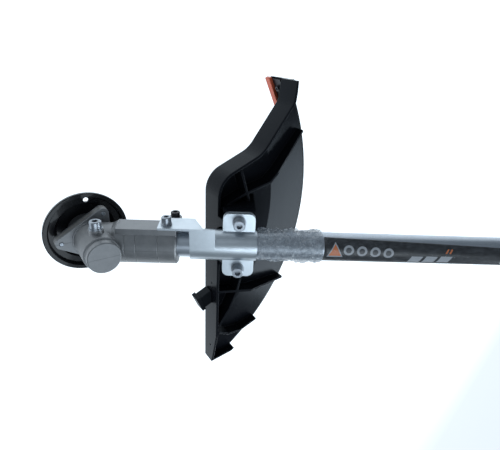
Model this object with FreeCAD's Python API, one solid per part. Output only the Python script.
"""Lower unit of a string trimmer: gear head, spindle, boom tube with drive shaft, guard and its bracket.

Millimetres. +Z is up along the tool spindle, the boom rises towards +X, +Y is the side of the filler screw.
The origin is on the spindle axis, in the face that a cutting head seats on.
"""
import FreeCAD, Part
import math
import os
from FreeCAD import Vector

# ---- gear pair and spindle ------------------------------------------------------------------
boom_rise_deg = 32.0          # boom axis above the plane of the tool
pinion_teeth = 15
gear_teeth = 21
gear_pitch_r = 11.2           # output gear, at the outer end of its teeth
face_width = 6.0              # length of the teeth along the cone
tooth_thinning = 0.80         # tooth thickness over half the pitch, leaves the backlash
addendum_factor = 0.85        # tooth height above the pitch cone, in modules
dedendum_factor = 1.15        # tooth depth below the pitch cone, in modules
gear_hub_r = 7.6
spindle_r = 5.0               # bore of the lower bearing, and the thread of the tool end
spindle_top_r = 4.0           # bore of the top bearing
spindle_collar_r = 6.6
tool_end_length = 22.0        # thread that stands below the seat
tool_end_chamfer = 0.8
thread_relief = 1.6           # groove between seat and thread, below the seat
thread_relief_above = 0.4     # and its part inside the cup's hub
thread_relief_depth = 0.7

# ---- ball bearings: bore radius, outer radius, width ----------------------------------------
top_bearing_outer_r = 11.0
top_bearing_width = 7.0
lower_bearing_outer_r = 13.0
lower_bearing_width = 8.0
pinion_bearing_outer_r = 13.0
pinion_bearing_width = 8.0
pinion_shaft_r = 5.0
ball_gap = 0.12               # between a ball and the grooves it runs in
ball_count = 8

# ---- gear housing, heights counted from the point where boom and spindle axes meet ----------
barrel_bore_clearance = 1.06  # around the output gear
barrel_wall = 2.5
cap_wall = 3.0                # around the top bearing
cap_top_wall = 4.0
gear_hub_length = 8.48        # from the gear's heel to the top bearing
spindle_end_gap = 1.0
flange_top_z = -3.0
flange_thickness = 5.0
flange_screw_room = 8.6       # from the cover's boss to the circle of the flange screws
flange_corner_r = 5.0
base_ring_height = 1.8
base_ring_extra = 1.0
gasket_thickness = 0.4
cover_plate_thickness = 4.0
circlip_thickness = 1.2
circlip_groove_depth = 0.8
seal_outer_r = 11.0
seal_width = 5.0
seal_clearance = 0.06         # lip of the seal around the spindle
cover_boss_wall = 3.4         # around the lower bearing
cover_floor = 0.5             # web between lower bearing and seal
cover_end_wall = 0.6
neck_r = 16.2
pinion_passage_clearance = 1.4
pinion_collar = 2.30          # from the pinion's heel to the front pinion bearing
bearing_spacer = 1.0
boom_stop = 1.8               # between the pinion bearings' circlip and the boom's end
sleeve_start_gap = 3.0        # from the front pinion bearing's face to the full sleeve
sleeve_wall = 6.2
sleeve_end_x = 76.6
sleeve_rings = (32.4, 42.0, 60.8)   # parting grooves around the sleeve
ring_groove = 0.5
pad_depth = 1.0               # of the flat on the sleeve's side that the bracket seats on
pad_low = -5.0
pad_high = 14.0
pad_start_x = 25.0
clamp_slit = 2.4
clamp_slit_x = 46.0
lug_depth = 9.6
lug_half_width = 9.0
lug_start_x = 60.8
filler_z = 18.5
filler_boss_r = 6.3
filler_boss_rise = 3.0        # above the barrel

# ---- cup that turns with the spindle ---------------------------------------------------------
cup_gap = 0.6                 # between the lower cover and the cup's hub
cup_hub_r = 9.0
cup_hub_height = 6.2
cup_sheet = 1.6
cup_rim_r = 37.7
cup_rim_inner_r = 34.0
cup_rim_height = 13.7         # rim above the tool seat
cup_ledge_height = 9.0
cup_ledge_inner_r = 27.0
cup_ledge_outer_r = 32.3
cup_floor_r = 24.0
lock_hole_r = 2.3
lock_hole_count = 2

# ---- boom and drive shaft, distances along the boom ------------------------------------------
boom_outer_r = 13.0
boom_wall = 1.5
boom_end_x = 470.0
drive_shaft_r = 4.0
drive_tang = 5.0              # square end that enters the pinion shaft
drive_tang_clearance = 0.05
drive_end_length = 24.0       # stands out of the boom's open end
first_bush_x = 118.0
last_bush_from_end = 92.0
bush_length = 22.0
bush_wall = 3.0
bush_clearance = 0.05
end_bush_depth = 14.0
end_bush_flange = 2.0
end_bush_flange_r = 12.6
joint_length = 66.0           # of the open end that the engine side's clamp takes
depth_groove = 1.2            # groove that marks where the clamp ends, and its depth
depth_groove_depth = 0.4
shaft_groove_gap = 0.6        # between the end plug and the shaft's own groove
locating_hole_r = 4.0
locating_hole_from_end = 22.0

# ---- bracket and its fasteners ---------------------------------------------------------------
bracket_sheet = 2.0
saddle_start_x = 87.8
saddle_end_x = 146.6
plate_start_x = 116.3
plate_width = 28.7
plate_edge = 7.9              # from a bracket screw to the wing's outer edge
plate_up = 4.7                # upper face of the wings above the boom axis
plate_corner_r = 6.0
wing_gap = 2.0                # between upper and lower wings, filled by the spacers
tab_start_x = 60.6
tab_cut_x = 91.0
tab_end_x = 99.5
tab_low = -8.0
arm_end_x = 110.0
bracket_screw_room = 10.3     # from the boom's side to a bracket screw
tab_screw_x = 67.5
tab_screw_up = 6.0
clamp_screw_x = 72.0
clamp_screw_y = 17.5          # seat of its head, at the side
clamp_boss_r = 6.0
screw_clearance = 0.25

# ---- guard, heights from the axes' crossing ---------------------------------------------------
guard_r = 221.0               # skirt, about the guard's own centre
guard_centre_y = 21.0         # sideways from the spindle
guard_wall = 2.6
guard_floor_z = 36.0
guard_floor_r = 170.0
guard_shoulder_z = 27.0
guard_shoulder = 3.0          # bevel between floor and skirt, across and down
guard_lip_z = 3.0
guard_rim_top_z = 50.0
guard_rim_low_z = 26.0
guard_front_x = 100.0
guard_low_y = -157.0          # plain end, at the front wall
guard_low_outer_y = -166.0    # and beyond the skirt
guard_high_y = 138.0          # end with the line cutter
guard_bends = ((55.0, 24.0), (146.0, 75.5, 30.0), (178.0, 119.0, 14.0))
rib_outer_top_z = 36.0
rib_thickness = 2.4
rib_paths = (((104.0, 28.0), (130.0, 39.0), (158.0, 46.0), (203.0, 90.0)),
             ((124.0, 62.0), (136.0, 24.0)),
             ((102.0, -61.0), (143.0, -72.0), (160.0, -74.0), (194.0, -78.0)),
             ((128.0, -50.0), (124.0, -68.0), (116.0, -86.0), (102.0, -106.0)),
             ((102.0, -111.0), (118.0, -123.0), (136.0, -128.0), (160.0, -124.0)))
front_holes = ((-55.0, 40.0), (-135.0, 38.0))
front_hole_r = 1.2
seat_boss_r = 8.0
seat_boss_low = -20.0
nut_room_r = 6.6
horn_half_width = 22.0
horn_depth = 12.0
trough_clearance = 0.2        # between the bracket and the guard's trough

# ---- lug on the guard's front wall -----------------------------------------------------------
lug_y = -71.0
lug_turn_deg = 24.0
lug_size = (13.0, 14.0, 10.0)
lug_cap_size = (4.0, 17.0, 12.0)

# ---- line cutter at the guard's end ----------------------------------------------------------
cutter_angle_deg = 27.5       # about the guard's centre
cutter_length = 34.0
blade_thickness = 1.4
blade_height = 16.0
cutter_pad = 1.0
cutter_screw_r = 1.5
cutter_screw_drop = 5.0       # below the blade's upper edge
cover_strip = 3.2
cover_strip_height = 7.0

# ---- label and film on the boom --------------------------------------------------------------
label_start_x = 207.0
label_thickness = 0.2
film_thickness = 1.05
crumple_thickness = 3.0
film_start_x = 147.4
film_step_x = 206.0
film_end_gap = 3.0            # between the film's end and the clamp's groove
label_end_gap = 4.0           # between the label's end and the film's

# ---- values worked out from the ones above ---------------------------------------------------
rise = math.radians(boom_rise_deg)
module = 2.0 * gear_pitch_r / gear_teeth
addendum = addendum_factor * module
dedendum = dedendum_factor * module
pinion_cone = math.atan2(math.sin(math.pi / 2 - rise),
                         gear_teeth / pinion_teeth + math.cos(math.pi / 2 - rise))
gear_cone = math.pi / 2 - rise - pinion_cone
cone_distance = gear_pitch_r / math.sin(gear_cone)
pinion_pitch_r = gear_pitch_r * pinion_teeth / gear_teeth

gear_tip_r = gear_pitch_r + addendum * math.cos(gear_cone)
barrel_bore_r = gear_tip_r + barrel_bore_clearance
barrel_r = barrel_bore_r + barrel_wall
gear_heel_z = cone_distance * math.cos(gear_cone) + dedendum * math.sin(gear_cone)
pinion_heel_x = cone_distance * math.cos(pinion_cone) + dedendum * math.sin(pinion_cone)
top_bearing_z = gear_heel_z + gear_hub_length
pinion_bearing_x = pinion_heel_x + pinion_collar
sleeve_start_x = pinion_bearing_x + sleeve_start_gap
cap_r = top_bearing_outer_r + cap_wall
top_bearing_end_z = top_bearing_z + top_bearing_width
spindle_top_z = top_bearing_end_z + 1.4
cap_cavity_z = spindle_top_z + spindle_end_gap
cap_top_z = cap_cavity_z + cap_top_wall
shoulder_z = top_bearing_end_z - 0.6
flange_low_z = flange_top_z - flange_thickness
cover_top_z = flange_low_z - gasket_thickness
circlip_z = cover_top_z - 1.2 - circlip_thickness
lower_bearing_z = circlip_z - lower_bearing_width
seal_z = lower_bearing_z - cover_floor - seal_width
cover_low_z = seal_z - cover_end_wall
seat_z = cover_low_z - cup_gap - cup_hub_height
apex_height = -seat_z         # of the axes' crossing above the origin
cover_boss_r = lower_bearing_outer_r + cover_boss_wall
flange_screw_pcd_r = cover_boss_r + flange_screw_room
filler_boss_y = barrel_r + filler_boss_rise

sleeve_r = boom_outer_r + sleeve_wall
pad_y = sleeve_r - pad_depth
bracket_screw_y = boom_outer_r + bracket_screw_room
plate_half_span = bracket_screw_y + plate_edge
film_end_x = boom_end_x - joint_length - depth_groove - film_end_gap
label_end_x = film_end_x - label_end_gap
passage_r = pinion_pitch_r + addendum + pinion_passage_clearance
rear_bearing_x = pinion_bearing_x + pinion_bearing_width + bearing_spacer
pinion_circlip_x = rear_bearing_x + pinion_bearing_width
boom_start_x = pinion_circlip_x + circlip_thickness + boom_stop
pinion_end_x = boom_start_x + 3.0
last_bush_x = boom_end_x - last_bush_from_end
bush_positions = (first_bush_x, (first_bush_x + last_bush_x) / 2, last_bush_x)
tang_start_x = pinion_end_x - 14.0
boom_inner_r = boom_outer_r - boom_wall
clamp_screw_up = -(boom_outer_r + 4.2)
strap_r = boom_outer_r + bracket_sheet
tab_y = pad_y + bracket_sheet
wing_low = plate_up - bracket_sheet
base_wing_up = wing_low - wing_gap
seat_up = base_wing_up - bracket_sheet


# ---- construction helpers --------------------------------------------------------------------
def turn(points):
    """Solid of revolution about Z from (radius, height) points."""
    corners = [Vector(r, 0, z) for r, z in points]
    face = Part.Face(Part.makePolygon(corners + corners[:1]))
    return face.revolve(Vector(0, 0, 0), Vector(0, 0, 1), 360)


def disc(radius, low, high):
    return Part.makeCylinder(radius, high - low, Vector(0, 0, low))


def ring(outer_r, inner_r, low, high):
    return disc(outer_r, low, high).cut(disc(inner_r, low - 1, high + 1))


def box(x, y, z):
    """Box from its low and high limits along each axis."""
    return Part.makeBox(x[1] - x[0], y[1] - y[0], z[1] - z[0], Vector(x[0], y[0], z[0]))


def prism(points, low, high):
    """Upright prism over a plan outline."""
    corners = [Vector(x, y, low) for x, y in points]
    return Part.Face(Part.makePolygon(corners + corners[:1])).extrude(Vector(0, 0, high - low))


def hexagon(across_flats, low, high):
    reach = across_flats / math.sqrt(3)
    points = [(reach * math.cos(k * math.pi / 3), reach * math.sin(k * math.pi / 3)) for k in range(6)]
    return prism(points, low, high)


def aim(shape, base, direction):
    """Moves a shape built along +Z so that its origin is at base and +Z points along direction."""
    spin = FreeCAD.Rotation(Vector(0, 0, 1), Vector(*direction))
    return placed(shape, FreeCAD.Placement(Vector(*base), spin))


def placed(shape, placement):
    moved = shape.copy()
    moved.transformShape(placement.toMatrix())
    return moved


def along_x(shape):
    """Turns a shape built about Z so that it lies about X, the boom's own direction."""
    return placed(shape, FreeCAD.Placement(Vector(0, 0, 0), FreeCAD.Rotation(Vector(0, 1, 0), 90)))


def on_head(shape):
    """From heights counted from the axes' crossing into the part's frame."""
    return placed(shape, FreeCAD.Placement(Vector(0, 0, apex_height), FreeCAD.Rotation()))


def on_boom(shape):
    """From the boom's frame (X along the boom, Y sideways, Z up from its axis) into the part's frame."""
    tilt = FreeCAD.Rotation(Vector(0, 1, 0), -boom_rise_deg)
    return placed(shape, FreeCAD.Placement(Vector(0, 0, apex_height), tilt))


def off_boom(shape):
    """From the boom's frame into heights counted from the axes' crossing."""
    tilt = FreeCAD.Rotation(Vector(0, 1, 0), -boom_rise_deg)
    return placed(shape, FreeCAD.Placement(Vector(0, 0, 0), tilt))


def fuse(first, *others):
    return first.multiFuse(list(others)).removeSplitter()


def group(solids):
    return Part.makeCompound(solids)


def socket_screw(thread_r, length):
    """Hexagon socket head cap screw along +Z, with the underside of its head at the origin."""
    head_r = 1.7 * thread_r
    head_height = 2.0 * thread_r
    head = turn([(0, 0), (head_r, 0), (head_r, 0.9 * head_height), (0.9 * head_r, head_height),
                 (0, head_height)])
    shank = turn([(0, 0), (thread_r, 0), (thread_r, -length + 0.5), (thread_r - 0.5, -length),
                  (0, -length)])
    socket = hexagon(1.6 * thread_r, 0.45 * head_height, head_height + 1)
    return fuse(head, shank).cut(socket)


def washer(thread_r, outer_r, thickness):
    return ring(outer_r, thread_r + screw_clearance, 0, thickness)


def hex_nut(thread_r, height):
    return hexagon(3.35 * thread_r, 0, height).cut(disc(thread_r, -1, height + 1))


# ---- ball bearings ---------------------------------------------------------------------------
def bearing(bore_r, outer_r, width):
    """Outer ring, balls and inner ring of one deep groove bearing, standing on z = 0."""
    middle_r = (bore_r + outer_r) / 2
    ball_r = 0.29 * (outer_r - bore_r)
    groove = Part.makeTorus(middle_r, ball_r + ball_gap, Vector(0, 0, width / 2))
    outer = ring(outer_r, middle_r + 0.5 * ball_r, 0, width).cut(groove)
    inner = ring(middle_r - 0.5 * ball_r, bore_r, 0, width).cut(groove)
    balls = []
    for k in range(ball_count):
        angle = 2 * math.pi * k / ball_count
        centre = Vector(middle_r * math.cos(angle), middle_r * math.sin(angle), width / 2)
        balls.append(Part.makeSphere(ball_r, centre))
    return outer, group(balls), inner


def raised(shape, height):
    return placed(shape, FreeCAD.Placement(Vector(0, 0, height), FreeCAD.Rotation()))


def top_bearing():
    parts = bearing(spindle_top_r, top_bearing_outer_r, top_bearing_width)
    return [on_head(raised(s, top_bearing_z)) for s in parts]


def lower_bearing():
    parts = bearing(spindle_r, lower_bearing_outer_r, lower_bearing_width)
    return [on_head(raised(s, lower_bearing_z)) for s in parts]


def pinion_bearing(start_x):
    parts = bearing(pinion_shaft_r, pinion_bearing_outer_r, pinion_bearing_width)
    return [on_boom(along_x(raised(s, start_x))) for s in parts]


# ---- bevel gears -----------------------------------------------------------------------------
def cone_point(cone, distance, height):
    """Radius and axial place of a point on a pitch cone, raised by height from the cone's surface."""
    radius = distance * math.sin(cone) + height * math.cos(cone)
    place = distance * math.cos(cone) - height * math.sin(cone)
    return radius, place


def bevel_tooth(cone):
    """One straight tooth at azimuth 0: its faces all lead to the cone's apex at the origin."""
    half = 0.25 * math.pi * module * tooth_thinning
    slope = math.tan(math.radians(20))
    depth = dedendum + 0.25 * module
    profile = [(-depth, half + dedendum * slope), (-dedendum, half + dedendum * slope),
               (addendum, half - addendum * slope)]
    outline = [(h, w) for h, w in profile] + [(h, -w) for h, w in reversed(profile)]
    shrink = (cone_distance - face_width) / cone_distance
    sections = []
    for scale in (1.0, shrink):
        corners = []
        for height, width in outline:
            radius, place = cone_point(cone, cone_distance, height)
            corners.append(Vector(radius, width, place) * scale)
        sections.append(Part.makePolygon(corners + corners[:1]))
    return Part.makeLoft(sections, True, True)


def bevel_teeth(cone, count):
    tooth = bevel_tooth(cone)
    teeth = []
    for k in range(count):
        turned = FreeCAD.Rotation(Vector(0, 0, 1), 360.0 * k / count)
        teeth.append(placed(tooth, FreeCAD.Placement(Vector(0, 0, 0), turned)))
    return teeth


def output_gear():
    """Driven bevel gear, teeth facing down to the pinion, its hub against the top bearing."""
    toe_r, toe_z = cone_point(gear_cone, cone_distance - face_width, -dedendum)
    heel_r, heel_z = cone_point(gear_cone, cone_distance, -dedendum)
    blank = turn([(spindle_r, toe_z), (toe_r, toe_z), (heel_r, heel_z), (heel_r, heel_z + 1.6),
                  (gear_hub_r, heel_z + 3.2), (gear_hub_r, top_bearing_z - 1.2), (6.0, top_bearing_z),
                  (spindle_r, top_bearing_z)])
    return on_head(fuse(blank, *bevel_teeth(gear_cone, gear_teeth)))


def input_pinion():
    """Pinion in one piece with the shaft that its two bearings carry, square socket in the rear end."""
    toe_r, toe_x = cone_point(pinion_cone, cone_distance - face_width, -dedendum)
    heel_r, heel_x = cone_point(pinion_cone, cone_distance, -dedendum)
    blank = turn([(0, toe_x), (toe_r, toe_x), (heel_r, heel_x), (heel_r, heel_x + 0.8),
                  (6.6, pinion_bearing_x), (pinion_shaft_r, pinion_bearing_x),
                  (pinion_shaft_r, pinion_end_x), (0, pinion_end_x)])
    wheel = fuse(blank, *bevel_teeth(pinion_cone, pinion_teeth))
    half = drive_tang / 2 + drive_tang_clearance
    socket = box((-half, half), (-half, half), (tang_start_x - 1, pinion_end_x + 1))
    clip_groove = ring(pinion_shaft_r + 1, pinion_shaft_r - 0.5, pinion_circlip_x, pinion_circlip_x + 1.0)
    return on_boom(along_x(wheel.cut(socket).cut(clip_groove)))


def pinion_clip():
    """External ring that keeps the pinion shaft in its bearings."""
    ring_solid = ring(pinion_shaft_r + 1.4, pinion_shaft_r - 0.5, pinion_circlip_x, pinion_circlip_x + 1.0)
    gap = box((0, 10), (-1.6, 1.6), (pinion_circlip_x - 1, pinion_circlip_x + 2))
    return on_boom(along_x(ring_solid.cut(gap)))


# ---- spindle group ---------------------------------------------------------------------------
def output_spindle():
    collar_top = circlip_z + circlip_thickness + 2.0
    bearing_top = lower_bearing_z + lower_bearing_width
    low = seat_z - tool_end_length
    return on_head(turn([
        (0, spindle_top_z), (spindle_top_r - 0.5, spindle_top_z), (spindle_top_r, spindle_top_z - 0.5),
        (spindle_top_r, top_bearing_z), (spindle_r, top_bearing_z), (spindle_r, collar_top),
        (spindle_collar_r, collar_top), (spindle_collar_r, bearing_top), (spindle_r, bearing_top),
        (spindle_r, seat_z + thread_relief_above),
        (spindle_r - thread_relief_depth, seat_z + thread_relief_above),
        (spindle_r - thread_relief_depth, seat_z - thread_relief), (spindle_r, seat_z - thread_relief),
        (spindle_r, low + tool_end_chamfer), (spindle_r - tool_end_chamfer, low), (0, low)]))


def thrust_cup():
    """Pressed steel cup above the cutting head, with a ledge that holds the locking holes."""
    ledge_z = seat_z + cup_ledge_height
    rim_z = seat_z + cup_rim_height
    hub_z = seat_z + cup_hub_height
    cup = turn([
        (spindle_r, seat_z), (cup_floor_r + cup_sheet, seat_z),
        (cup_ledge_inner_r + 0.7 * cup_sheet, ledge_z - cup_sheet),
        (cup_ledge_outer_r + 0.7 * cup_sheet, ledge_z - cup_sheet),
        (cup_rim_inner_r + 0.7 * cup_sheet, rim_z - cup_sheet), (cup_rim_r - cup_sheet, rim_z - cup_sheet),
        (cup_rim_r - cup_sheet, rim_z - 2 * cup_sheet), (cup_rim_r, rim_z - 2 * cup_sheet),
        (cup_rim_r, rim_z - 0.6), (cup_rim_r - 0.6, rim_z), (cup_rim_inner_r, rim_z),
        (cup_ledge_outer_r, ledge_z), (cup_ledge_inner_r, ledge_z), (cup_floor_r, seat_z + cup_sheet),
        (cup_hub_r, seat_z + cup_sheet), (cup_hub_r, hub_z - 0.5), (cup_hub_r - 0.5, hub_z),
        (spindle_r, hub_z)])
    hole_r = (cup_ledge_inner_r + cup_ledge_outer_r) / 2 + 0.3
    for k in range(lock_hole_count):
        angle = math.radians(84 + 360 * k / lock_hole_count)
        centre = Vector(hole_r * math.cos(angle), hole_r * math.sin(angle), ledge_z - 3)
        cup = cup.cut(Part.makeCylinder(lock_hole_r, 5, centre))
    return on_head(cup)


# ---- gear housing ----------------------------------------------------------------------------
def flange_outline(low, high):
    """Triangular plate with rounded corners around the three flange screws."""
    corners = [disc(flange_corner_r, low, high) for _ in range(3)]
    middles = []
    for k, corner in enumerate(corners):
        angle = math.radians(60 + 120 * k)
        middle = Vector(flange_screw_pcd_r * math.cos(angle), flange_screw_pcd_r * math.sin(angle), 0)
        middles.append(middle)
        corner.translate(middle)
    plates = []
    for k in range(3):
        start, end = middles[k], middles[(k + 1) % 3]
        side = (end - start).normalize().cross(Vector(0, 0, 1)) * flange_corner_r
        hull = [(0, 0), (start.x, start.y), (start.x + side.x, start.y + side.y),
                (end.x + side.x, end.y + side.y), (end.x, end.y)]
        plates.append(prism(hull, low, high))
    return fuse(corners[0], corners[1], corners[2], *plates)


def flange_holes(radius, low, high):
    holes = []
    for k in range(3):
        angle = math.radians(60 + 120 * k)
        base = Vector(flange_screw_pcd_r * math.cos(angle), flange_screw_pcd_r * math.sin(angle), low)
        holes.append(Part.makeCylinder(radius, high - low, base))
    return holes


def sleeve_body():
    """Outside of the clamp sleeve, with its parting grooves, about the boom axis."""
    points = [(0, sleeve_start_x - 4), (sleeve_r - 2.4, sleeve_start_x - 4), (sleeve_r, sleeve_start_x)]
    for x in sleeve_rings:
        points += [(sleeve_r, x - ring_groove), (sleeve_r - ring_groove, x), (sleeve_r, x + ring_groove)]
    points += [(sleeve_r, sleeve_end_x - 1.2), (sleeve_r - 1.2, sleeve_end_x), (0, sleeve_end_x)]
    return along_x(turn(points))


def gear_housing():
    barrel = turn([(0, flange_low_z), (barrel_r, flange_low_z), (barrel_r, shoulder_z - 1.2),
                   (barrel_r - 1.0, shoulder_z), (cap_r, shoulder_z), (cap_r, cap_top_z - 0.8),
                   (cap_r - 0.8, cap_top_z), (0, cap_top_z)])
    base_ring = disc(barrel_r + base_ring_extra, flange_low_z, flange_top_z + base_ring_height)
    flange = flange_outline(flange_low_z, flange_top_z)
    boss = aim(disc(filler_boss_r, 0, filler_boss_y), (0, 0, filler_z), (0, 1, 0))
    neck = along_x(disc(neck_r, 0, sleeve_start_x))
    pad = box((pad_start_x, sleeve_end_x), (0, pad_y), (pad_low, pad_high))
    lugs = box((lug_start_x, sleeve_end_x), (-lug_half_width, lug_half_width), (-boom_outer_r - lug_depth, 0))
    clamp_boss = aim(disc(clamp_boss_r, clamp_slit, clamp_screw_y),
                     (clamp_screw_x, 0, clamp_screw_up), (0, 1, 0))
    sleeve = off_boom(fuse(sleeve_body(), neck, pad, lugs).fuse(clamp_boss))
    below = disc(60, flange_low_z - 60, flange_low_z)
    beyond_pad = off_boom(box((pad_start_x, sleeve_end_x + 1), (pad_y, sleeve_r + 1),
                              (tab_low - 2, pad_high + 4)))
    body = fuse(barrel, base_ring, flange, boss, sleeve).cut(below).cut(beyond_pad)

    bore = disc(barrel_bore_r, flange_low_z - 1, top_bearing_z)
    bearing_seat = disc(top_bearing_outer_r, top_bearing_z - 1, top_bearing_end_z)
    end_room = disc(top_bearing_outer_r - 2.4, top_bearing_z, cap_cavity_z)
    filler_hole = aim(disc(3.0, 0, filler_boss_y + 1), (0, 0, filler_z), (0, 1, 0))
    passage = along_x(disc(passage_r, 0, pinion_bearing_x + 1))
    bearing_bore = along_x(disc(pinion_bearing_outer_r, pinion_bearing_x, boom_start_x))
    clip_groove = along_x(disc(pinion_bearing_outer_r + circlip_groove_depth, pinion_circlip_x,
                               pinion_circlip_x + circlip_thickness))
    boom_bore = along_x(disc(boom_outer_r, boom_start_x, sleeve_end_x + 1))
    slit = box((clamp_slit_x, sleeve_end_x + 1), (-clamp_slit / 2, clamp_slit / 2),
               (-boom_outer_r - lug_depth - 1, 0))
    clamp_hole = aim(disc(2.5, -30, 30), (clamp_screw_x, 0, clamp_screw_up), (0, 1, 0))
    head_room = aim(disc(5.2, clamp_screw_y, 30), (clamp_screw_x, 0, clamp_screw_up), (0, 1, 0))
    tab_hole = aim(disc(2.5, 0, 30), (tab_screw_x, 0, tab_screw_up), (0, 1, 0))
    cuts = [off_boom(s) for s in (passage, bearing_bore, clip_groove, boom_bore, slit, clamp_hole,
                                  head_room, tab_hole)]
    cuts += [bore, bearing_seat, end_room, filler_hole]
    cuts += flange_holes(2.0, flange_low_z - 1, flange_top_z + 1)
    for cut in cuts:
        body = body.cut(cut)
    return on_head(body)


def cover_gasket():
    plate = flange_outline(cover_top_z, flange_low_z)
    plate = plate.cut(disc(barrel_bore_r, cover_top_z - 1, flange_low_z + 1))
    for hole in flange_holes(2.2, cover_top_z - 1, flange_low_z + 1):
        plate = plate.cut(hole)
    return on_head(plate)


def bottom_cover():
    """Cover below the flange that carries the lower bearing and the spindle seal."""
    low = cover_low_z
    plate = flange_outline(cover_top_z - cover_plate_thickness, cover_top_z)
    boss = turn([(0, low), (cover_boss_r - 1.2, low), (cover_boss_r, low + 1.2), (cover_boss_r, cover_top_z),
                 (0, cover_top_z)])
    cover = fuse(plate, boss)
    groove = disc(lower_bearing_outer_r + circlip_groove_depth, circlip_z, circlip_z + circlip_thickness)
    cuts = [disc(lower_bearing_outer_r, lower_bearing_z, cover_top_z + 1), groove,
            disc(seal_outer_r, seal_z, lower_bearing_z + 1), disc(spindle_r + 1.5, low - 1, seal_z + 1)]
    cuts += flange_holes(2.2, low, cover_top_z + 1)
    for cut in cuts:
        cover = cover.cut(cut)
    return on_head(cover)


def cover_screws():
    """Three socket screws from below, whose ends show in the flange."""
    head_z = cover_top_z - cover_plate_thickness
    screws = []
    for k in range(3):
        angle = math.radians(60 + 120 * k)
        base = (flange_screw_pcd_r * math.cos(angle), flange_screw_pcd_r * math.sin(angle), head_z)
        screws.append(aim(socket_screw(2.0, flange_top_z + 0.8 - head_z), base, (0, 0, -1)))
    return on_head(group(screws))


def internal_circlip(seat_r, low):
    """Open spring ring in a bore's groove, with its gap at azimuth 0."""
    ring_solid = ring(seat_r + circlip_groove_depth, seat_r - 2.2, low, low + circlip_thickness)
    gap = box((0, seat_r + 3), (-2.5, 2.5), (low - 1, low + circlip_thickness + 1))
    return ring_solid.cut(gap)


def spindle_seal():
    """Rubber lip seal, its case pressed into the cover."""
    high = seal_z + seal_width
    lip_r = spindle_r + seal_clearance
    case_r = seal_outer_r - 2.0
    inner_r = seal_outer_r - 1.6
    return on_head(turn([(lip_r, seal_z + 1.6), (lip_r + 1.4, seal_z + 0.6), (case_r, seal_z + 0.6),
                         (case_r, seal_z), (seal_outer_r, seal_z), (seal_outer_r, high), (inner_r, high),
                         (inner_r, seal_z + 2.2), (lip_r + 1.2, seal_z + 2.2), (lip_r, seal_z + 2.8)]))


def filler_washer():
    return on_head(aim(washer(3.0, filler_boss_r - 0.4, 1.2), (0, filler_boss_y, filler_z), (0, 1, 0)))


def filler_screw():
    """Grease filler screw, its end clear of the gear."""
    head = socket_screw(3.0, filler_boss_y + 1.2 - barrel_bore_r - 0.6)
    return on_head(aim(head, (0, filler_boss_y + 1.2, filler_z), (0, 1, 0)))


def clamp_screw():
    """Screw that draws the two lugs of the split sleeve together."""
    base = (clamp_screw_x, clamp_screw_y, clamp_screw_up)
    return on_boom(aim(socket_screw(2.5, clamp_screw_y + lug_half_width - 0.5), base, (0, 1, 0)))


# ---- boom and drive shaft --------------------------------------------------------------------
def boom_tube():
    tube = ring(boom_outer_r, boom_inner_r, boom_start_x, boom_end_x)
    mark_x = boom_end_x - joint_length
    tube = tube.cut(ring(boom_outer_r + 1, boom_outer_r - depth_groove_depth, mark_x - depth_groove, mark_x))
    hole = Part.makeCylinder(locating_hole_r, boom_outer_r + 2, Vector(0, 0, 0), Vector(-1, 0, 0))
    hole.translate(Vector(0, 0, boom_end_x - locating_hole_from_end))
    return on_boom(along_x(tube.cut(hole)))


def tube_end_bush():
    """Plastic plug that closes the boom's open end around the drive shaft."""
    plug = ring(boom_inner_r, drive_shaft_r + 1.0, boom_end_x - end_bush_depth, boom_end_x)
    flange = ring(end_bush_flange_r, drive_shaft_r + 1.0, boom_end_x, boom_end_x + end_bush_flange)
    return on_boom(along_x(fuse(plug, flange)))


def shaft_bushes():
    outer_r = drive_shaft_r + bush_wall
    return on_boom(along_x(group([ring(outer_r, drive_shaft_r + bush_clearance, x, x + bush_length)
                                  for x in bush_positions])))


def bush_carriers():
    """Rubber rings that hold the bushes in the middle of the boom."""
    inner_r = drive_shaft_r + bush_wall
    return on_boom(along_x(group([ring(boom_inner_r, inner_r, x, x + bush_length) for x in bush_positions])))


def drive_shaft():
    """Steel shaft with a square end in the pinion and a splined end for the engine side."""
    end = boom_end_x + drive_end_length
    groove_x = boom_end_x + end_bush_flange + shaft_groove_gap
    neck_r = drive_shaft_r - depth_groove_depth
    bar = turn([(0, pinion_end_x + 0.5), (drive_shaft_r, pinion_end_x + 0.5), (drive_shaft_r, groove_x),
                (neck_r, groove_x), (neck_r, groove_x + depth_groove),
                (drive_shaft_r, groove_x + depth_groove),
                (drive_shaft_r, end - 0.8), (drive_shaft_r - 0.8, end), (0, end)])
    half = drive_tang / 2
    tang = box((-half, half), (-half, half), (tang_start_x, pinion_end_x + 1.0))
    return on_boom(along_x(fuse(bar, tang)))


# ---- bracket ---------------------------------------------------------------------------------
def wing(side, low, high):
    """Flat ear of the bracket beside the boom, with two rounded outer corners."""
    end_x = plate_start_x + plate_width
    inner = boom_outer_r
    straight = box((plate_start_x, end_x), (inner, plate_half_span - plate_corner_r), (low, high))
    edge = box((plate_start_x + plate_corner_r, end_x - plate_corner_r), (inner, plate_half_span),
               (low, high))
    corners = []
    for x in (plate_start_x + plate_corner_r, end_x - plate_corner_r):
        centre = Vector(x, plate_half_span - plate_corner_r, low)
        corners.append(Part.makeCylinder(plate_corner_r, high - low, centre))
    ear = fuse(straight, edge, *corners)
    if side < 0:
        ear = ear.mirror(Vector(0, 0, 0), Vector(0, 1, 0))
    return ear


def screw_holes(radius, low, high):
    middle_x = plate_start_x + plate_width / 2
    return [Part.makeCylinder(radius, high - low, Vector(middle_x, side * bracket_screw_y, low))
            for side in (1, -1)]


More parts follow.
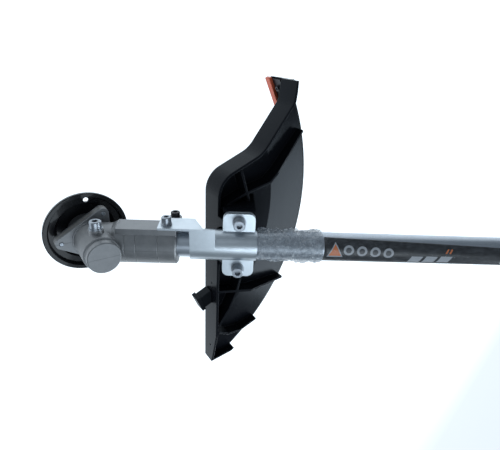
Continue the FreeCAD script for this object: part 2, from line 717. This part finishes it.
def bracket_saddle():
    """Zinc plated strap over the boom, with two wings and a tab that reaches the gear housing."""
    strap = along_x(disc(strap_r, saddle_start_x, saddle_end_x))
    upper = box((0, saddle_end_x + 1), (-60, 60), (wing_low, 60))
    strap = strap.common(upper)
    arm = box((saddle_start_x, arm_end_x), (0, tab_y), (boom_outer_r, strap_r))
    tab_points = [(tab_start_x, tab_low), (tab_cut_x, tab_low), (tab_end_x, boom_outer_r),
                  (arm_end_x, boom_outer_r), (arm_end_x, strap_r), (tab_start_x, strap_r)]
    tab = aim_side(tab_points, pad_y, tab_y)
    saddle = fuse(strap, wing(1, wing_low, plate_up), wing(-1, wing_low, plate_up), arm, tab)
    saddle = saddle.cut(along_x(disc(boom_outer_r, 0, saddle_end_x + 1)))
    for hole in screw_holes(3.0 + screw_clearance, wing_low - 1, plate_up + 1):
        saddle = saddle.cut(hole)
    tab_hole = aim(disc(2.5 + screw_clearance, 0, 40), (tab_screw_x, 0, tab_screw_up), (0, 1, 0))
    return on_boom(saddle.cut(tab_hole))


def aim_side(points, low_y, high_y):
    """Plate in the boom's upright plane, from (along, up) points, between two sideways limits."""
    corners = [Vector(x, low_y, z) for x, z in points]
    return Part.Face(Part.makePolygon(corners + corners[:1])).extrude(Vector(0, high_y - low_y, 0))


def bracket_base():
    """Lower half of the bracket, between the boom and the guard's seat."""
    half = along_x(disc(strap_r, plate_start_x, plate_start_x + plate_width))
    half = half.common(box((0, 400), (-60, 60), (-60, base_wing_up)))
    base = fuse(half, wing(1, seat_up, base_wing_up), wing(-1, seat_up, base_wing_up))
    base = base.cut(along_x(disc(boom_outer_r, 0, 400)))
    for hole in screw_holes(3.0 + screw_clearance, seat_up - 1, base_wing_up + 1):
        base = base.cut(hole)
    return on_boom(base)


def on_screws(shape, up):
    """One copy of an upright part on each bracket screw."""
    middle_x = plate_start_x + plate_width / 2
    return [aim(shape, (middle_x, side * bracket_screw_y, up), (0, 0, 1)) for side in (1, -1)]


def wing_spacers():
    return on_boom(group(on_screws(washer(3.0, 6.0, wing_gap), base_wing_up)))


def bracket_washers():
    flat = washer(3.0, 6.0, 1.2)
    spring = ring(5.2, 3.0 + screw_clearance, 1.2, 2.8).cut(box((0, 8), (-0.4, 0.4), (1.1, 3)))
    return on_boom(group(on_screws(flat, plate_up) + on_screws(spring, plate_up)))


def bracket_screws():
    length = plate_up + 2.8 - (seat_boss_low - 7.0)
    return on_boom(group(on_screws(socket_screw(3.0, length), plate_up + 2.8)))


def bracket_nuts():
    return on_boom(group(on_screws(hex_nut(3.0, 5.0), seat_boss_low - 5.0)))


def tab_screw():
    """Screw that holds the bracket's tab to the gear housing and locates the boom."""
    base = (tab_screw_x, tab_y + 2.2, tab_screw_up)
    return on_boom(aim(socket_screw(2.5, tab_y + 2.2 - boom_outer_r), base, (0, 1, 0)))


def tab_washers():
    flat = washer(2.5, 5.0, 1.0)
    spring = ring(4.4, 2.5 + screw_clearance, 1.0, 2.2).cut(box((0, 8), (-0.4, 0.4), (0.9, 3)))
    return on_boom(group([aim(s, (tab_screw_x, tab_y, tab_screw_up), (0, 1, 0)) for s in (flat, spring)]))


# ---- guard -----------------------------------------------------------------------------------
def offset_outline(points, distance):
    """Moves each side of a clockwise plan outline inwards by distance."""
    moved = []
    count = len(points)
    for k in range(count):
        before, here, after = points[k - 1], points[k], points[(k + 1) % count]
        first = unit(here[0] - before[0], here[1] - before[1])
        second = unit(after[0] - here[0], after[1] - here[1])
        first_normal = (first[1], -first[0])
        second_normal = (second[1], -second[0])
        bisector = (first_normal[0] + second_normal[0], first_normal[1] + second_normal[1])
        reach = distance / (0.5 * (bisector[0] ** 2 + bisector[1] ** 2))
        moved.append((here[0] + bisector[0] * reach, here[1] + bisector[1] * reach))
    return moved


def unit(x, y):
    length = math.hypot(x, y)
    return x / length, y / length


def about_guard(shape):
    """From radii about the guard's centre into heights counted from the axes' crossing."""
    return placed(shape, FreeCAD.Placement(Vector(0, guard_centre_y, 0), FreeCAD.Rotation()))


def guard_outline(inset):
    """Prism over the guard's plan: front edge, the edge that runs out to the cutter, and the two ends."""
    (front_y, first_r), *others = guard_bends
    bends = [(guard_front_x, front_y, first_r)] + others
    far_x = guard_r + 60
    points = [(guard_front_x, guard_low_y)] + [(x, y) for x, y, _ in bends]
    points += [(bends[-1][0] + 2, guard_high_y), (far_x, guard_high_y), (far_x, guard_low_outer_y)]
    corners = offset_outline(points, inset)
    plan = prism(corners, -20, 120)
    for k, (_, _, radius) in enumerate(bends, start=1):
        bulges = 1 if k != 2 else -1
        upright = [e for e in plan.Edges if is_upright_at(e, corners[k])]
        plan = plan.makeFillet(radius - bulges * inset, upright)
    return plan


def is_upright_at(edge, corner):
    """True for the vertical edge that stands on a plan corner."""
    middle = edge.BoundBox.Center
    near = math.hypot(middle.x - corner[0], middle.y - corner[1]) < 0.01
    return near and edge.BoundBox.ZLength > 1


def guard_profile(inset):
    """Solid below the guard's outer surface, moved inwards by inset."""
    skirt_r = guard_r - inset
    low = guard_lip_z - 40
    return about_guard(turn([(0, low), (skirt_r, low), (skirt_r, guard_shoulder_z - inset),
                             (skirt_r - guard_shoulder, guard_shoulder_z + guard_shoulder / 2 - inset),
                             (guard_floor_r, guard_floor_z - inset), (0, guard_floor_z - inset)]))


def guard_room(low):
    """Room for ribs: level over the floor, then falling towards the skirt's edge."""
    return about_guard(turn([(0, low), (guard_r + 1, low), (guard_r + 1, rib_outer_top_z),
                             (guard_floor_r, guard_rim_top_z), (0, guard_rim_top_z)]))


def strip(points, thickness, low, high):
    """Upright wall of even thickness along a plan path, with round joints."""
    pieces = []
    for start, end in zip(points, points[1:]):
        run = unit(end[0] - start[0], end[1] - start[1])
        side = (-run[1] * thickness / 2, run[0] * thickness / 2)
        corners = [(start[0] + side[0], start[1] + side[1]), (end[0] + side[0], end[1] + side[1]),
                   (end[0] - side[0], end[1] - side[1]), (start[0] - side[0], start[1] - side[1])]
        pieces.append(prism(corners, low, high))
    for x, y in points[1:-1]:
        pieces.append(Part.makeCylinder(thickness / 2, high - low, Vector(x, y, low)))
    return pieces


def guard_ribs():
    """Stiffening ribs on the guard's upper side; three of them run out over the skirt."""
    walls = []
    for path in rib_paths:
        walls += strip(path, rib_thickness, guard_shoulder_z - 6, guard_rim_top_z)
    above_skin = guard_room(guard_shoulder_z - 6).cut(guard_profile(1.0))
    return fuse(*walls).common(above_skin)


def guard_rim():
    """Wall around the guard's plan, lower where it meets the skirt at both ends."""
    rim = guard_outline(0).cut(guard_outline(guard_wall))
    rim = rim.common(about_guard(disc(guard_r, guard_rim_low_z, guard_rim_top_z)))
    far = guard_r + 100
    plain_end = box((0, far), (-far, guard_low_y + 40), (0, 120))
    cutter_end = box((guard_bends[-1][0] + guard_wall + 1, far), (guard_high_y - 10, far), (0, 120))
    ends = plain_end.fuse(cutter_end)
    return rim.cut(ends).fuse(rim.common(ends).common(guard_room(0)))


def guard_seat():
    """Hollow block under the bracket, with a boss for each screw."""
    end_x = plate_start_x + plate_width
    low = -60
    outer = box((plate_start_x, end_x), (-plate_half_span, plate_half_span), (low, seat_up))
    inner = box((plate_start_x + guard_wall, end_x - guard_wall),
                (-plate_half_span + guard_wall, plate_half_span - guard_wall), (low - 1, seat_up + 1))
    walls = off_boom(outer.cut(inner))
    above_floor = box((0, 300), (-100, 100), (guard_floor_z - guard_wall, 120))
    bosses = [off_boom(s) for s in screw_holes(seat_boss_r, seat_boss_low, seat_up)]
    return [walls.common(above_floor)] + bosses


def guard_horns():
    """Raised part of the front wall that the boom lies in."""
    top = box((guard_front_x, guard_front_x + horn_depth), (-horn_half_width, horn_half_width),
              (guard_floor_z - guard_wall, guard_rim_top_z + 30))
    below_seat = off_boom(box((0, 300), (-100, 100), (-100, seat_up)))
    return top.common(below_seat)


def cutter_pad_solid():
    """Flat pad inside the lip for the line cutter."""
    pad = box((guard_r - guard_wall - cutter_pad, guard_r - 0.6), (-cutter_length / 2, cutter_length / 2),
              (guard_lip_z, guard_lip_z + blade_height))
    return at_cutter(pad)


def at_cutter(shape):
    """Turns a shape built on the guard's +X side to the cutter's place on the skirt."""
    spin = FreeCAD.Rotation(Vector(0, 0, 1), cutter_angle_deg)
    return placed(shape, FreeCAD.Placement(Vector(0, guard_centre_y, 0), spin))


def guard_shell():
    outer = guard_profile(0).common(guard_outline(0))
    inner = guard_profile(guard_wall).common(guard_outline(guard_wall))
    skin = outer.cut(inner)
    skin = skin.cut(about_guard(disc(guard_r - guard_wall, -60, guard_rim_low_z)))
    skin = skin.common(about_guard(disc(guard_r, guard_lip_z, 100)))
    shell = fuse(skin, guard_rim(), guard_ribs(), guard_horns(), cutter_pad_solid(), *guard_seat())
    trough_r = strap_r + trough_clearance
    trough = off_boom(along_x(disc(trough_r, plate_start_x - 60, plate_start_x + plate_width + 60)))
    cuts = [trough] + [off_boom(s) for s in screw_holes(3.0 + screw_clearance, -60, 60)]
    cuts += [off_boom(s) for s in screw_holes(nut_room_r, seat_boss_low - 40, seat_boss_low)]
    cuts += cutter_screw_holes(cutter_screw_r)
    for y, z in front_holes:
        cuts.append(aim(disc(front_hole_r, -1, guard_wall + 1), (guard_front_x, y, z), (1, 0, 0)))
    for cut in cuts:
        shell = shell.cut(cut)
    return on_head(shell)


def cutter_face():
    """Distance of the pad's face from the guard's centre."""
    return guard_r - guard_wall - cutter_pad


def cutter_screw_holes(radius):
    holes = []
    for y in (-cutter_length / 4, cutter_length / 4):
        base = Vector(cutter_face() - blade_thickness - 1, y, guard_lip_z + blade_height - cutter_screw_drop)
        reach = blade_thickness + 1 + cutter_pad + 1.5
        holes.append(Part.makeCylinder(radius, reach, base, Vector(1, 0, 0)))
    return [at_cutter(hole) for hole in holes]


def line_cutter():
    """Steel blade that trims the line, screwed to the pad."""
    face = cutter_face()
    blade = at_cutter(box((face - blade_thickness, face), (-cutter_length / 2, cutter_length / 2),
                          (guard_lip_z - 2, guard_lip_z + blade_height)))
    for hole in cutter_screw_holes(cutter_screw_r):
        blade = blade.cut(hole)
    return on_head(blade)


def cutter_screws():
    screws = []
    face = cutter_face() - blade_thickness
    for y in (-cutter_length / 4, cutter_length / 4):
        base = (face, y, guard_lip_z + blade_height - cutter_screw_drop)
        screws.append(aim(socket_screw(cutter_screw_r, blade_thickness + cutter_pad + 1.2), base, (-1, 0, 0)))
    return on_head(at_cutter(group(screws)))


def cutter_cover():
    """Bright strip that covers the blade's edge."""
    face = cutter_face() - blade_thickness
    half = cutter_length / 2 + 2
    low = guard_lip_z - 3
    return on_head(at_cutter(box((face - cover_strip, face), (-half, half), (low, low + cover_strip_height))))


def lug_place():
    spin = FreeCAD.Rotation(Vector(0, 0, 1), lug_turn_deg)
    return FreeCAD.Placement(Vector(guard_front_x + 2, lug_y, guard_rim_low_z + 8), spin)


def front_lug():
    """Black lug on the front wall, with a separate cap on its end."""
    length, width, height = lug_size
    lug = box((-length, 0), (-width / 2, width / 2), (-height / 2, height / 2))
    return on_head(placed(lug, lug_place()).cut(guard_outline(0)))


def front_lug_cap():
    length, width, height = lug_cap_size
    start = -lug_size[0]
    cap = box((start - length, start), (-width / 2, width / 2), (-height / 2, height / 2))
    return on_head(placed(cap, lug_place()))


# ---- label and film --------------------------------------------------------------------------
def boom_label():
    return on_boom(along_x(ring(boom_outer_r + label_thickness, boom_outer_r, label_start_x, label_end_x)))


def crumpled_film():
    outer_r = boom_outer_r + crumple_thickness
    return on_boom(along_x(ring(outer_r, boom_outer_r, film_start_x, film_step_x)))


def smooth_film():
    inner_r = boom_outer_r + label_thickness
    return on_boom(along_x(ring(inner_r + film_thickness, inner_r, film_step_x, film_end_x)))


def nodes():
    """Every sub-part by name."""
    top_outer, top_balls, top_inner = top_bearing()
    lower_outer, lower_balls, lower_inner = lower_bearing()
    front_outer, front_balls, front_inner = pinion_bearing(pinion_bearing_x)
    rear_outer, rear_balls, rear_inner = pinion_bearing(rear_bearing_x)
    pinion_circlip = on_boom(along_x(internal_circlip(pinion_bearing_outer_r, pinion_circlip_x)))
    return {
        "gear_housing": gear_housing(), "bottom_cover": bottom_cover(), "cover_gasket": cover_gasket(),
        "cover_screws": cover_screws(), "filler_screw": filler_screw(), "filler_washer": filler_washer(),
        "clamp_screw": clamp_screw(), "top_bearing_outer_ring": top_outer, "top_bearing_balls": top_balls,
        "lower_bearing_outer_ring": lower_outer, "lower_bearing_balls": lower_balls,
        "front_pinion_bearing_outer_ring": front_outer, "front_pinion_bearing_balls": front_balls,
        "rear_pinion_bearing_outer_ring": rear_outer, "rear_pinion_bearing_balls": rear_balls,
        "lower_bearing_circlip": on_head(internal_circlip(lower_bearing_outer_r, circlip_z)),
        "pinion_bearing_circlip": pinion_circlip, "spindle_seal": spindle_seal(),
        "output_spindle": output_spindle(), "output_gear": output_gear(), "thrust_cup": thrust_cup(),
        "top_bearing_inner_ring": top_inner, "lower_bearing_inner_ring": lower_inner,
        "input_pinion": input_pinion(), "drive_shaft": drive_shaft(), "pinion_clip": pinion_clip(),
        "front_pinion_bearing_inner_ring": front_inner, "rear_pinion_bearing_inner_ring": rear_inner,
        "boom_tube": boom_tube(), "tube_end_bush": tube_end_bush(), "shaft_bushes": shaft_bushes(),
        "bush_carriers": bush_carriers(), "bracket_saddle": bracket_saddle(), "bracket_base": bracket_base(),
        "wing_spacers": wing_spacers(), "bracket_washers": bracket_washers(),
        "bracket_screws": bracket_screws(),
        "bracket_nuts": bracket_nuts(), "tab_screw": tab_screw(), "tab_washers": tab_washers(),
        "guard_shell": guard_shell(), "line_cutter": line_cutter(), "cutter_screws": cutter_screws(),
        "cutter_cover": cutter_cover(), "front_lug": front_lug(), "front_lug_cap": front_lug_cap(),
        "boom_label": boom_label(), "crumpled_film": crumpled_film(), "smooth_film": smooth_film(),
    }


def main():
    os.makedirs("parts", exist_ok=True)
    for name, shape in nodes().items():
        shape.exportStep(f"parts/{name}.step")
        print(f"{name:34s} solids {len(shape.Solids)} volume {shape.Volume:10.1f} valid {shape.isValid()}")
    print(f"axes cross {apex_height:.2f} above the origin")


main()
